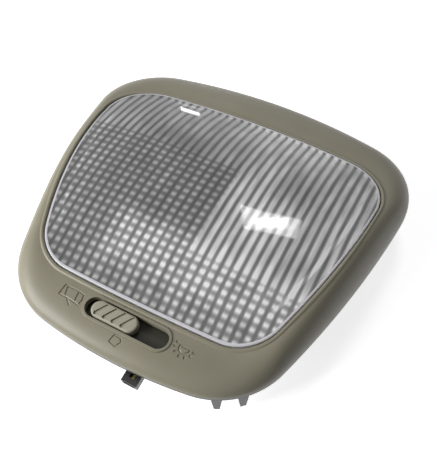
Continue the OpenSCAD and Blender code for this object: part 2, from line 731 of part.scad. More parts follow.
// The carrier stops above the bridge, which slides on the terminals with a running gap
carrier_end = cavity_end + pin_t + run_gap + bridge_t;
module switch_knob() {
    color(greige) slid() difference() {
        union() {
            hull() {
                translate([0, 0, knob_bottom])
                    pill(knob_l, knob_w, knob_rise - knob_bottom - 2 * knob_edge);
                translate([0, 0, knob_bottom])
                    pill(knob_l - 1, knob_w - 1, knob_rise - knob_bottom);
            }
            translate([-stem_l / 2, -stem_w / 2, stem_end])
                cube([stem_l, stem_w, knob_bottom - stem_end + 0.5]);
        }
        for (i = [-1.5 : 1.5])
            translate([i * grip_pitch, 0, knob_rise - grip_depth]) rotate([0, 0, -grip_slant])
                translate([-grip_w / 2, -knob_w / 2 + knob_edge, 0])
                    cube([grip_w, knob_w - 2 * knob_edge, 1]);
    }
}
module slider_carrier() {
    color(near_black) slid() difference() {
        union() {
            translate([-plate_half_l, plate_y[0], -plate_depth - plate_t])
                cube([2 * plate_half_l, plate_y[1] - plate_y[0], plate_t]);
            translate([-carrier_l / 2, carrier_y[0], carrier_end])
                cube([carrier_l, carrier_y[1] - carrier_y[0], -plate_depth - plate_t - carrier_end]);
        }
        translate([-stem_l / 2 - 0.05, -stem_w / 2 - 0.05, stem_end - 0.05])
            cube([stem_l + 0.1, stem_w + 0.1, 5]);
        // Notches for the detent spring, one for each position
        for (k = [-1, 0, 1])
            translate([k * switch_step, carrier_y[0] - 0.35, carrier_end - 1]) rotate([0, 0, 45])
                translate([-0.6, -0.6, 0]) cube([1.2, 1.2, 6]);
    }
}
module contact_bridge() {
    color(brass) slid() difference() {
        translate([-carrier_l / 2 + 0.6, carrier_y[0] + 0.5, carrier_end - bridge_t])
            cube([carrier_l - 1.2, carrier_y[1] - carrier_y[0] - 1, bridge_t]);
        translate([-2, -1, carrier_end - 1]) cube([4, 1, 2]);
    }
}
cavity_half_l = carrier_l / 2 + switch_step + 0.6;
base_ear_t = 1.6;
module switch_base() {
    color(near_black) difference() {
        on_panel() difference() {
            union() {
                translate([-base_half_l, -base_near, base_end])
                    cube([2 * base_half_l, base_near + base_far, base_h]);
                translate([-post_x - 2.4, -post_d / 2, base_top - base_ear_t])
                    cube([2 * post_x + 4.8, post_d, base_ear_t]);
            }
            translate([-cavity_half_l, cavity_y[0], cavity_end])
                cube([2 * cavity_half_l, cavity_y[1] - cavity_y[0], base_h + 1]);
            for (side = [-1, 1])
                translate([side * post_x, 0, base_top - base_ear_t - 1])
                    cylinder(d = switch_screw_d + 6 * screw_gap, h = base_ear_t + 2);
        }
        for (x = [feed_x, switched_x])
            translate([x - strip_w / 2 - seat_gap, slot_y, strip_z - seat_gap])
                cube([strip_w + 2 * seat_gap, near_edge, strip_t + 2 * seat_gap]);
        on_panel() for (k = [-1, 0, 1])
            translate([plug_x + k * pin_pitch - pin_w / 2 - pin_gap, -base_near - 1,
                       cavity_end - pin_gap])
                cube([pin_w + 2 * pin_gap, base_wall + 2, pin_t + 2 * pin_gap]);
    }
}
module detent_spring() {
    y = cavity_y[0] + spring_t;
    tip = carrier_y[0] - run_gap - spring_t / 2;
    end = spring_l / 2;
    foot = nose_w / 2;
    path = [[-end, y + 2 * spring_t], [0.1 - end * 0.9, y], [-foot, y], [-foot / 4, tip],
            [foot / 4, tip], [foot, y], [end * 0.9 - 0.1, y], [end, y + 2 * spring_t]];
    color(spring_steel) on_panel() translate([0, 0, base_top - spring_w - 1.4])
        linear_extrude(spring_w) polygon(strip_outline(path, spring_t));
}

// Connector at the front of the switch base, with three terminals that run on into
// the base as the fixed contacts
pin_gap = 0.05;
module connector_housing() {
    color(near_black) on_panel() difference() {
        translate([plug_x - plug_w / 2, -plug_reach, plug_top - plug_h])
            cube([plug_w, plug_reach - base_near, plug_h]);
        translate([plug_x - plug_w / 2 + plug_wall, -plug_reach - 1, plug_top - plug_h + plug_wall])
            cube([plug_w - 2 * plug_wall, plug_reach - base_near - 0.6, plug_h - 2 * plug_wall]);
        for (k = [-1, 0, 1])
            translate([plug_x + k * pin_pitch - pin_w / 2 - pin_gap, -base_near - 3,
                       cavity_end - pin_gap])
                cube([pin_w + 2 * pin_gap, 4, pin_t + 2 * pin_gap]);
        // Locking window in the top
        translate([plug_x - 0.9, 1.8 - plug_reach, plug_top - 1]) cube([1.8, 1.6, 2]);
    }
}
module terminal(k) {
    x = plug_x + k * pin_pitch;
    rail_y = cavity_y[0] + 1 + (k + 1) * 1.5;
    color(brass) on_panel() translate([0, 0, cavity_end]) {
        translate([x - pin_w / 2, 1 - plug_reach, 0])
            cube([pin_w, plug_reach - 1 + rail_y + pin_w, pin_t]);
        translate([-cavity_half_l + 0.4, rail_y, 0])
            cube([cavity_half_l - 0.4 + x - pin_w / 2 + eps, pin_w, pin_t]);
    }
}
module terminal_feed() { terminal(1); }
module terminal_door() { terminal(0); }
module terminal_earth() { terminal(-1); }

// Leaf clips on the housing's sides, which grip the roof cut-out
clip_top = 3.4;
clip_foot = -6.6;
clip_rise = 3.2;
function bowed_x(s, y) = s[0] - s[2] + sqrt(s[2] * s[2] - pow(y - s[1], 2));
clip_seat_x = bowed_x(lens_shape, clip_y + clip_w / 2 + 1) - housing_out + 0.2;
clip_out = bowed_x(bezel_shape, clip_y - clip_w / 2) - wall - clip_gap - clip_seat_x - clip_t;
module clip_pad(side) {
    mirror([side < 0 ? 1 : 0, 0, 0])
        translate([clip_seat_x - 4, clip_y - clip_w / 2 - 1, clip_foot - 0.6])
            cube([4, clip_w + 2, clip_top - clip_foot]);
}
module retaining_clip(side) {
    x = clip_seat_x + clip_t / 2;
    path = [[x, clip_top - 1], [x, clip_foot], [x + 0.8 * clip_out, clip_foot],
            [x + clip_out, clip_foot + clip_rise], [x + clip_t + 0.2, -0.6]];
    color(spring_steel) mirror([side < 0 ? 1 : 0, 0, 0])
        translate([0, clip_y + clip_w / 2, 0]) rotate([90, 0, 0])
            linear_extrude(clip_w) polygon(strip_outline(path, clip_t));
}
module retaining_clip_left() { retaining_clip(-1); }
module retaining_clip_right() { retaining_clip(1); }

// Pan-head self-tapping screws
screw_l = 5.2;
screw_head_h = 2;
module pan_screw(d, l, head_d, head_h) {
    difference() {
        union() {
            cylinder(d = d, h = l);
            rotate_extrude() polygon([[0, 0], [head_d / 2, 0], [head_d / 2, -head_h / 2],
                                      [head_d / 3, -head_h], [0, -head_h]]);
        }
        for (a = [0, 90])
            rotate([0, 0, a]) translate([-head_d / 4, -0.35, -head_h - 1])
                cube([head_d / 2, 0.7, head_h * 0.6 + 1]);
    }
}
module housing_screws() {
    color(spring_steel) for (p = boss_places)
        translate([p[0], p[1], ear_top - ear_t])
            pan_screw(screw_d, screw_l, screw_head_d, screw_head_h);
}
module switch_screws() {
    color(spring_steel) for (side = [-1, 1])
        on_panel() translate([side * post_x, 0, base_top - base_ear_t])
            pan_screw(switch_screw_d, switch_screw_l, switch_head_d, 0.7 * switch_screw_d);
}

bezel();
lens();
reflector();
rear_housing();
lamp_glass();
lamp_cap_left();
lamp_cap_right();
lamp_filament();
lamp_contact_left();
lamp_contact_right();
feed_strip();
switched_strip();
switch_knob();
slider_carrier();
contact_bridge();
detent_spring();
switch_base();
connector_housing();
terminal_feed();
terminal_door();
terminal_earth();
retaining_clip_left();
retaining_clip_right();
housing_screws();
switch_screws();
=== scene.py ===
import math

import bpy
import numpy as np
from mathutils import Matrix, Vector


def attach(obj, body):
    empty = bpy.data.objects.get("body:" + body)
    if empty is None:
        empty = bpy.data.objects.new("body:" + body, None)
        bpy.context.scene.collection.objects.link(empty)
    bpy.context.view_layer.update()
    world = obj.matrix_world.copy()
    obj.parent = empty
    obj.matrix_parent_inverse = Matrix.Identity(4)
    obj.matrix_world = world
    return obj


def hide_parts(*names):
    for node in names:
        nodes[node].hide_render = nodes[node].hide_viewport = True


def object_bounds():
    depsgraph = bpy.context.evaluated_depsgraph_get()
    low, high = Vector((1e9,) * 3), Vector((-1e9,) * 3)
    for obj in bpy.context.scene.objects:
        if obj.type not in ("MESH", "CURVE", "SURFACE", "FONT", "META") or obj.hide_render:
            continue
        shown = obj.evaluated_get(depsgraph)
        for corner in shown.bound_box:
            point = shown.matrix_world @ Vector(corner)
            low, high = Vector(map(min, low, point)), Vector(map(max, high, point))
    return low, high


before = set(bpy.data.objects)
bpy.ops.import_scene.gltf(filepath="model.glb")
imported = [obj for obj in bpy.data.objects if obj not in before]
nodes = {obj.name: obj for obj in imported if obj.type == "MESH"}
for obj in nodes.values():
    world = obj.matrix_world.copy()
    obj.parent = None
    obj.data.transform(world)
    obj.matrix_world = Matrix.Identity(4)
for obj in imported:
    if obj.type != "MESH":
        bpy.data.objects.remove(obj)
solid_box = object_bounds()
MM = 0.001

# Sizes in millimetres, as in the part's source
HALF_W, SIDE_Y, SIDE_R = 62, 58.6, 334
FAR_EDGE, FAR_R, NEAR_EDGE, NEAR_R = 58, 190, 60.1, 169.5
FAR_CORNER, NEAR_CORNER = 24.7, 26.4
SIDE_BAND, FAR_BAND, NEAR_BAND = 9.3, 17.4, 16.8
WALL, RIM_H, WELL_T = 2, 1.8, 1.6
FACE_H, ARCH_R, CROSS_R = 14.4, 120, 1390
CROWN_POWER, SIDE_POWER = 2.25, 1.75
LIP_W, LIP_H = 1.5, 0.45
LENS_Y, LENS_R, LENS_FAR_R, LENS_NEAR_R = 30.6, 184.5, 320, 686
LENS_FAR_CORNER, LENS_NEAR_CORNER = 18.2, 16.2
DOME_H, DOME_REACH, LENS_T, LENS_RIM, LENS_GAP = 2, 26, 1.8, 2.6, 0.3
LENS_PROUD, SKIRT_T, SEAT_GAP = 0.25, 1.4, 0.1
FLUTE_PITCH, FLUTE_DEPTH = 3, 0.8
LEDGE_W, LEDGE_DEPTH, SEAT_DROP = 2, 2.8, 4.4
SLOT_INSET, SLOT_L, SLOT_W = 10.9, 28.6, 6.5
KNOB_L, KNOB_GAP, KNOB_RISE, KNOB_SUNK, STEP = 16, 0.45, 0.7, 1.9, 4.1
STEM_L, STEM_W, STEM_SUNK, STEM_ROOT = 6, 2.6, 6.2, 0.1
GRIP_PITCH, GRIP_SLANT = 3.1, 32
LEG_INSET, LEG_PITCH, RIGHT_LEG, LEFT_LEG = 29.1, 6.6, 11, 8
LEG_W, LEG_TIP_W, LEG_T, LEG_ROOT = 4.4, 1.8, 1.4, 2.4

# Sizes that only the visual model has
FOOT_R = 0.25
BEAD_W, BEAD_H, BEAD_R, BEAD_ROOT = 0.9, 0.25, 0.23, 1
KNOB_R, GRIP_W, GRIP_DEPTH, GRIP_SHORT = 0.75, 1.2, 0.5, 0.4
STROKE_R, STROKE_LIFT, STROKE_STEP = 0.42, 0.12, 0.7
CROSS_PITCH, CROSS_DEPTH, FAINT = 2.8, 0.35, 0.4
CLEAR_TO = LENS_RIM - 0.8

# The cross flutes begin over these stretches: in from the right, in from the far side, out to
# the near side, and faintly out to the far side
CROSS_RIGHT, CROSS_FAR, CROSS_NEAR, CROSS_FAINT = (8, 5), (12, 10), (-21, -24), (22, 26)

# An outline: half width, height and radius of the sides, then place and radius of the far and
# of the near edge, then the corner radii
BEZEL_SHAPE = (HALF_W, SIDE_Y, SIDE_R, FAR_EDGE, FAR_R, -NEAR_EDGE, NEAR_R, FAR_CORNER, NEAR_CORNER)
LENS_SHAPE = (HALF_W - SIDE_BAND, LENS_Y, LENS_R, FAR_EDGE - FAR_BAND, LENS_FAR_R,
              NEAR_BAND - NEAR_EDGE, LENS_NEAR_R, LENS_FAR_CORNER, LENS_NEAR_CORNER)
EDGE_POINTS, CORNER_POINTS = 12, 16


def meet(c1, r1, c2, r2, turn):
    """Where two circles meet, to the left of the way between their centres if turn is 1."""
    d = np.subtract(c2, c1)
    apart = np.hypot(*d)
    along = (apart * apart + r1 * r1 - r2 * r2) / (2 * apart)
    aside = math.sqrt(r1 * r1 - along * along)
    u = d / apart
    return np.array(c1) + along * u + turn * aside * np.array([-u[1], u[0]])


def bearing(centre, p):
    return math.atan2(p[1] - centre[1], p[0] - centre[0])


def arc(centre, r, start, end, n, last=False):
    """Points on an arc, without the last one unless it is asked for."""
    a = start + (end - start) * np.arange(n + int(last)) / n
    return np.stack([centre[0] + r * np.cos(a), centre[1] + r * np.sin(a)], 1)


def edge_circles(shape):
    """Centre and radius of the circles that bow the right side, the far and the near edge."""
    half_w, side_y, side_r, far, far_r, near, near_r = shape[:7]
    return (((half_w - side_r, side_y), side_r),
            ((0, far - far_r), far_r),
            ((0, near + near_r), near_r))


def half_outline(shape, inset):
    """Right half of a bowed four-sided outline, from the near middle to the far middle."""
    (side, side_r), (far, far_r), (near, near_r) = edge_circles(shape)
    far_round, near_round = shape[7:]
    far_corner = meet(side, side_r - far_round, far, far_r - far_round, 1)
    near_corner = meet(side, side_r - near_round, near, near_r - near_round, -1)
    near_end, side_start = bearing(near, near_corner), bearing(side, near_corner)
    side_end, far_start = bearing(side, far_corner), bearing(far, far_corner)
    return np.concatenate([
        arc(near, near_r - inset, -math.pi / 2, near_end, EDGE_POINTS),
        arc(near_corner, near_round - inset, near_end, side_start, CORNER_POINTS),
        arc(side, side_r - inset, side_start, side_end, EDGE_POINTS),
        arc(far_corner, far_round - inset, side_end, far_start, CORNER_POINTS),
        arc(far, far_r - inset, far_start, math.pi / 2, EDGE_POINTS, last=True)])


def outline(shape, inset=0):
    right = half_outline(shape, inset)
    return np.concatenate([right, right[-2:0:-1] * [-1, 1]])


def face_z(x, y):
    """Height of the arched face that the lens opening lies in."""
    return FACE_H - x * x / (2 * CROSS_R) - y * y / (2 * ARCH_R)


# The band of the bezel goes from each point of the outer outline to its partner at the lens
OUTER, INNER = outline(BEZEL_SHAPE), outline(LENS_SHAPE)
ACROSS = INNER - OUTER
BAND = np.hypot(ACROSS[:, 0], ACROSS[:, 1])
ACROSS /= BAND[:, None]
EDGE_Z = face_z(INNER[:, 0], INNER[:, 1])
POWER = SIDE_POWER + (CROWN_POWER - SIDE_POWER) * np.clip(
    (BAND - SIDE_BAND) / (FAR_BAND - SIDE_BAND), 0, 1)


def band_ring(d, z):
    """A flat ring at a distance in from the outer outline."""
    p = OUTER + ACROSS * d
    return np.column_stack([p, np.full(len(p), float(z))])


def lens_ring(d, drop):
    """A ring at a distance out from the lens opening, below the face by drop."""
    return np.column_stack([INNER - ACROSS * d, EDGE_Z - drop])


def crown_ring(degrees, start, end, base, drop):
    """A ring on the crown, which rises from base at start to drop below the face at end."""
    width, q, a = BAND - start - end, 2 / POWER, math.radians(degrees)
    p = OUTER + ACROSS * (start + width * (1 - math.cos(a) ** q))[:, None]
    return np.column_stack([p, base + (EDGE_Z - drop - base) * math.sin(a) ** q])


def take(*objects):
    """Makes these objects the whole selection, the last one active."""
    if bpy.context.mode != "OBJECT":
        bpy.ops.object.mode_set(mode="OBJECT")
    bpy.ops.object.select_all(action="DESELECT")
    for o in objects:
        o.select_set(True)
        bpy.context.view_layer.objects.active = o


def editing(on=True):
    bpy.ops.object.mode_set(mode="EDIT" if on else "OBJECT")


def coords(o):
    co = np.empty(len(o.data.vertices) * 3)
    o.data.vertices.foreach_get("co", co)
    return co.reshape(-1, 3)


def put(o, co):
    o.data.vertices.foreach_set("co", np.asarray(co, float).ravel())
    o.data.update()


def added(name):
    """Names the object that an operator has just added."""
    o = bpy.context.object
    o.name = o.data.name = name
    return o


def recalc(o):
    take(o)
    editing()
    bpy.ops.mesh.select_all(action="SELECT")
    bpy.ops.mesh.normals_make_consistent(inside=False)
    editing(False)


def smooth(o, degrees):
    take(o)
    bpy.ops.object.shade_smooth_by_angle(angle=math.radians(degrees))


def select_open_edges():
    bpy.ops.mesh.select_all(action="DESELECT")
    bpy.ops.mesh.select_non_manifold()


def extrude_up(times):
    """Extrudes the selected edges upwards by 1, so that a vertex's height counts its loop."""
    for _ in range(times):
        bpy.ops.mesh.extrude_edges_move(TRANSFORM_OT_translate={"value": (0, 0, 1)})


def loft(name, rings):
    """A closed skin through rings, the last one joined to the first: a circle is extruded ring
    by ring and bridged, and its vertices are then moved onto the rings."""
    n = len(rings[0])
    take()
    bpy.ops.mesh.primitive_circle_add(vertices=n, radius=1)
    o = added(name)
    first = coords(o)[0]
    editing()
    bpy.ops.mesh.select_all(action="SELECT")
    extrude_up(len(rings) - 1)
    select_open_edges()
    bpy.ops.mesh.bridge_edge_loops()
    editing(False)
    co = coords(o)
    turn = np.arctan2(co[:, 1], co[:, 0]) - math.atan2(first[1], first[0])
    i = np.rint(turn / (2 * math.pi) * n).astype(int) % n
    j = np.rint(co[:, 2]).astype(int)
    put(o, np.stack(rings)[j, i] * MM)
    recalc(o)
    return o


def combine(o, other, operation):
    """Joins or cuts a piece with another mesh, which is used up."""
    take(o)
    m = o.modifiers.new("Boolean", "BOOLEAN")
    m.object, m.operation, m.solver = other, operation, "EXACT"
    bpy.ops.object.modifier_apply(modifier=m.name)
    bpy.data.objects.remove(other)


def pill(name, length, width, z0, z1, around=48, bevel=0.0, segments=3):
    """Round-ended block: a circle pulled apart at its middle and extruded, with its top edge
    rounded where bevel asks for it."""
    take()
    bpy.ops.mesh.primitive_circle_add(vertices=around, radius=width / 2 * MM, fill_type="NGON")
    o = added(name)
    co = coords(o)
    co[:, 0] += np.where(co[:, 0] > 0, 1, -1) * (length - width) / 2 * MM
    co[:, 2] = z0 * MM
    put(o, co)
    editing()
    bpy.ops.mesh.select_all(action="SELECT")
    bpy.ops.mesh.extrude_region_move(TRANSFORM_OT_translate={"value": (0, 0, (z1 - z0) * MM)})
    editing(False)
    recalc(o)
    if bevel:
        mesh = o.data
        mesh.polygons.foreach_set("select", np.zeros(len(mesh.polygons), bool))
        mesh.edges.foreach_set("select", np.zeros(len(mesh.edges), bool))
        mesh.vertices.foreach_set("select", coords(o)[:, 2] > (z0 + z1) / 2 * MM)
        editing()
        bpy.ops.mesh.select_mode(type="VERT")
        bpy.ops.mesh.bevel(offset=bevel * MM, segments=segments, affect="EDGES")
        editing(False)
    return o


def block(name, x, y, z):
    """A box between the two values on each axis."""
    take()
    bpy.ops.mesh.primitive_cube_add(size=1)
    o = added(name)
    low, high = np.array([x, y, z]).T
    put(o, (low + (coords(o) + 0.5) * (high - low)) * MM)
    return o


# Bezel
# Degrees round the quarter turn of the crown, up its outside and back down under it
CROWN_UP = (7, 13, 19, 26, 33, 41, 49, 57, 66, 75, 83, 90)
WELL_DOWN = (90, 76, 62, 48, 34, 20, 8)
LIP_PROFILE = (  # distance out from the lens opening, and height over the face
    (LIP_W - 0.15, 0.12), (LIP_W - 0.35, LIP_H - 0.1), (LIP_W - 0.6, LIP_H), (0.5, LIP_H),
    (0.22, LIP_H - 0.07), (0.05, LIP_H - 0.24), (0, 0))
WELL_PROFILE = (  # distance out from the lens opening, and drop below the face
    (0, LEDGE_DEPTH), (-LEDGE_W, LEDGE_DEPTH), (-LEDGE_W, SEAT_DROP), (WELL_T, SEAT_DROP))
SLOT_CUT = (-6, 3)  # from and to which height over the panel the slot is cut
LAMP_SIGN = (19.4, -48.4)


def crown_z(d):
    """Height of the crown in the middle of the near band, at a distance in from its outer edge."""
    top = face_z(0, NEAR_BAND - NEAR_EDGE)
    left = (1 - d / (NEAR_BAND - LIP_W)) ** CROWN_POWER
    return RIM_H + (top - RIM_H) * (1 - left) ** (1 / CROWN_POWER)


def panel_place():
    """Where the switch sits: the crown at the slot, with the crown's slope there."""
    low, high = crown_z(SLOT_INSET - SLOT_W / 2), crown_z(SLOT_INSET + SLOT_W / 2)
    middle = Matrix.Translation((0, (SLOT_INSET - NEAR_EDGE) * MM, crown_z(SLOT_INSET) * MM))
    return middle @ Matrix.Rotation(math.atan((high - low) / SLOT_W), 4, "X")


PANEL = panel_place()


def on_panel(o, dx=0.0):
    """Moves a mesh drawn flat at the origin onto the sloping panel of the switch."""
    o.data.transform(PANEL @ Matrix.Translation((dx * MM, 0, 0)))
    o.data.update()
    return o


def make_bezel():
    """The ring of the bezel, lofted from its foot over the crown, the lip and the lens's ledge
    and back under the crown, with the bead and the slot of the switch."""
    rings = [band_ring(FOOT_R, 0), band_ring(0, FOOT_R), band_ring(0, RIM_H)]
    rings += [crown_ring(a, 0, LIP_W, RIM_H, 0) for a in CROWN_UP]
    rings += [lens_ring(d, -height) for d, height in LIP_PROFILE]
    rings += [lens_ring(d, drop) for d, drop in WELL_PROFILE]
    rings += [crown_ring(a, WALL, WELL_T, RIM_H / 2, WALL) for a in WELL_DOWN]
    rings += [band_ring(WALL, 0)]
    bezel = loft("bezel_moulding", rings)
    bead = pill("bead", SLOT_L + 2 * BEAD_W, SLOT_W + 2 * BEAD_W, -BEAD_ROOT, BEAD_H, bevel=BEAD_R)
    combine(bezel, on_panel(bead), "UNION")
    combine(bezel, on_panel(pill("slot", SLOT_L, SLOT_W, *SLOT_CUT)), "DIFFERENCE")
    return bezel


def rim_y(x):
    """Where the middle of the rim's near wall lies at x."""
    near_part = half_outline(BEZEL_SHAPE, WALL / 2)[:EDGE_POINTS + CORNER_POINTS + 1]
    return float(np.interp(x, near_part[:, 0], near_part[:, 1]))


def add_legs(bezel):
    """Pointed locating legs that stand down inside the rim."""
    for side, length in ((1, RIGHT_LEG), (-1, LEFT_LEG)):
        for x in (HALF_W - LEG_INSET, HALF_W - LEG_INSET + LEG_PITCH):
            turn = math.atan((rim_y(x + 1) - rim_y(x - 1)) / 2)
            leg = block("leg", (-LEG_W / 2, LEG_W / 2), (0, LEG_T), (-length, LEG_ROOT))
            co = coords(leg)
            co[co[:, 2] < 0, 0] *= LEG_TIP_W / LEG_W
            put(leg, co)
            place = Matrix.Translation((side * x * MM, (rim_y(x) + WALL / 6) * MM, 0))
            leg.data.transform(place @ Matrix.Rotation(side * turn, 4, "Z"))
            combine(bezel, leg, "UNION")


def surface_z(o, x, y):
    """Height of a piece's top side, found by a ray from above."""
    _, place, _, _ = o.ray_cast(Vector((x * MM, y * MM, 0.1)), Vector((0, 0, -1)))
    return place.z / MM


def stroke(bezel, points):
    """A round groove cutter that follows the surface."""
    curve = bpy.data.curves.new("groove", "CURVE")
    curve.dimensions = "3D"
    curve.bevel_depth = STROKE_R * MM
    curve.bevel_resolution = 2
    curve.use_fill_caps = True
    dense = [np.array(points[0])]
    for a, b in zip(points, points[1:]):
        steps = max(1, int(math.dist(a, b) / STROKE_STEP))
        dense += [np.array(a) + (np.array(b) - a) * (i + 1) / steps for i in range(steps)]
    spline = curve.splines.new("POLY")
    if points[0] == points[-1]:
        dense.pop()
        spline.use_cyclic_u = True
    spline.points.add(len(dense) - 1)
    for p, (x, y) in zip(spline.points, dense):
        p.co = (x * MM, y * MM, (surface_z(bezel, x, y) + STROKE_LIFT) * MM, 1)
    o = bpy.data.objects.new("groove", curve)
    bpy.context.scene.collection.objects.link(o)
    take(o)
    bpy.ops.object.convert(target="MESH")
    o = bpy.context.object
    recalc(o)
    return o


def round_lamp(across, up, degrees):
    """A place on an ellipse round the middle of the lamp sign."""
    a = math.radians(degrees)
    return LAMP_SIGN[0] + across * math.cos(a), LAMP_SIGN[1] + up * math.sin(a)


def pictograms():
    """Three generic signs beside the slot: car with an open door, plain mark, lamp with rays."""
    car = [(-23.4, -46.9), (-23.7, -50.3), (-20.9, -50.3), (-18.1, -50.6), (-16.3, -50.9),
           (-15.9, -49.4), (-16.4, -47.3), (-18.6, -46.9), (-23.4, -46.9)]
    pillars = [[(-22.4, -47.3), (-21.6, -50.1)], [(-18.3, -47.4), (-17.8, -50.4)]]
    door = [(-20.9, -50.3), (-18.6, -52.2)]
    mark = [(-1.0, -53.9), (-1.6, -56.1), (0.8, -56.7), (1.9, -55.0), (0.9, -53.9), (-1.0, -53.9)]
    bowl = [round_lamp(1.7, 1.5, a) for a in range(165, 376, 30)]
    rays = [[round_lamp(2.5, 2.2, a), round_lamp(3.5, 3.1, a)]
            for a in (160, 190, 225, 260, 295, 330, 360)]
    return [car, *pillars, door, mark, bowl + bowl[:1], *rays]


def engrave(bezel):
    """Cuts the pictograms, all laid on the surface before the first cut."""
    cutters = [stroke(bezel, points) for points in pictograms()]
    for cutter in cutters:
        combine(bezel, cutter, "DIFFERENCE")


bezel = make_bezel()
add_legs(bezel)
engrave(bezel)
smooth(bezel, 32)


# Lens
def field_edge():
    """Place and way out along the fluted field's right edge, for its near and its far part,
    each from the middle to the right."""
    inner, outer = half_outline(LENS_SHAPE, LENS_GAP + LENS_RIM), half_outline(LENS_SHAPE, LENS_GAP)
    rows = np.column_stack([inner, (outer - inner) / LENS_RIM])
    widest = int(np.argmax(inner[:, 0]))
    return rows[:widest + 1], rows[widest:][::-1]


NEAR_SIDE, FAR_SIDE = field_edge()
FIELD_X = NEAR_SIDE[-1, 0]
FLUTE_STEPS, ROWS, END_ROOM = 6, 190, 0.3
RIM_PROFILE = np.array([  # distance out from the field, and drop below the dome
    (0, 0), (0.5, 0.18), (LENS_RIM - SKIRT_T, 0.22), (CLEAR_TO, 0.27), (LENS_RIM - 0.25, 0.34),
    (LENS_RIM, 0.6), (LENS_RIM, 0), (LENS_RIM - SKIRT_T, 0), (LENS_RIM - SKIRT_T, LENS_T)])
SEAT_LOOPS = (6, 7)  # these lie on the bezel's ledge, whatever their drop says


def edge_at(x, side):
    """Where one side of the field's edge lies at x, and the way out from it."""
    y, out_x, out_y = (np.interp(np.abs(x), side[:, 0], side[:, k]) for k in (1, 2, 3))
    return y, out_x * np.sign(x), out_y


def rise(d):
    """How far the dome has risen at a distance in from one edge, from 0 to 1."""
    return 1 - (1 - np.clip(d / DOME_REACH, 0, 1)) ** 2


def dome_z(x, y):
    """Top of the lens: the face, and a dome that rises from the four bowed edges of the field."""
    dome = DOME_H
    for centre, r in edge_circles(LENS_SHAPE):
        dome = dome * rise(r - LENS_GAP - LENS_RIM - np.hypot(np.abs(x) - centre[0], y - centre[1]))
    return face_z(x, y) + LENS_PROUD + dome


def wave(turns):
    """0 at whole turns and 1 at half turns."""
    return 0.5 - 0.5 * np.cos(2 * math.pi * turns)


def step(v, a, b):
    """Smooth step from 0 at a to 1 at b."""
    t = np.clip((v - a) / (b - a), 0, 1)
    return t * t * (3 - 2 * t)


def flutes(x, y):
    """Flutes along Y, crossed by shallower ones where the lens spreads the light both ways."""
    crossed = np.maximum(step(x, *CROSS_RIGHT) * step(y, *CROSS_FAR), step(y, *CROSS_NEAR))
    crossed = np.maximum(crossed, FAINT * step(y, *CROSS_FAINT))
    return FLUTE_DEPTH * wave(x / FLUTE_PITCH) + CROSS_DEPTH * crossed * wave(y / CROSS_PITCH)


def field_columns():
    """X of the columns of the field's grid: even parts of a flute, and the two ends."""
    half = int((FIELD_X - END_ROOM) / FLUTE_PITCH * FLUTE_STEPS)
    even = np.arange(-half, half + 1) * FLUTE_PITCH / FLUTE_STEPS
    return np.concatenate([[-FIELD_X], even, [FIELD_X]])


COLUMNS = field_columns()


def field_grid(name):
    """A plain grid, 2 by 2, with the field's columns and rows."""
    take()
    bpy.ops.mesh.primitive_grid_add(x_subdivisions=len(COLUMNS) - 1, y_subdivisions=ROWS, size=2)
    return added(name)


def field_places(o):
    """Column, row, x and y in the field for each vertex of a plain grid."""
    co = coords(o)
    i = np.rint((co[:, 0] + 1) / 2 * (len(COLUMNS) - 1)).astype(int)
    j = np.rint((co[:, 1] + 1) / 2 * ROWS).astype(int)
    x = COLUMNS[i]
    near, far = edge_at(x, NEAR_SIDE)[0], edge_at(x, FAR_SIDE)[0]
    return i, j, x, near + (far - near) * j / ROWS


def lens_underside():
    """The fluted side of the field."""
    under = field_grid("lens_under")
    _, _, x, y = field_places(under)
    put(under, np.stack([x, y, dome_z(x, y) - LENS_T - flutes(x, y)], 1) * MM)
    return under


def lens_top():
    """The dome and its rim, which is drawn out loop by loop, down to the ledge and up inside."""
    top = field_grid("lens_panel")
    editing()
    select_open_edges()
    extrude_up(len(RIM_PROFILE) - 1)
    editing(False)
    loop = np.rint(coords(top)[:, 2]).astype(int)
    i, j, x, y = field_places(top)
    _, *near_out = edge_at(x, NEAR_SIDE)
    _, *far_out = edge_at(x, FAR_SIDE)
    out_x, out_y = np.where(j * 2 > ROWS, far_out, near_out)
    end = (i == 0) | (i == len(COLUMNS) - 1)
    out_x, out_y = np.where(end, np.sign(x), out_x), np.where(end, 0, out_y)
    reach = LENS_RIM + LENS_GAP
    seat = face_z(x + out_x * reach, y + out_y * reach) - LEDGE_DEPTH + SEAT_GAP
    d, drop = RIM_PROFILE[loop].T
    z = np.where(np.isin(loop, SEAT_LOOPS), seat, dome_z(x, y) - drop)
    put(top, np.stack([x + out_x * d, y + out_y * d, z], 1) * MM)
    return top


def make_lens():
    """One closed skin: the top and its rim, bridged to the fluted underside."""
    take(lens_underside(), lens_top())
    bpy.ops.object.join()
    lens = bpy.context.object
    editing()
    bpy.ops.mesh.select_all(action="SELECT")
    bpy.ops.mesh.remove_doubles(threshold=1e-6)
    select_open_edges()
    bpy.ops.mesh.bridge_edge_loops()
    editing(False)
    recalc(lens)
    return lens


lens = make_lens()
smooth(lens, 30)


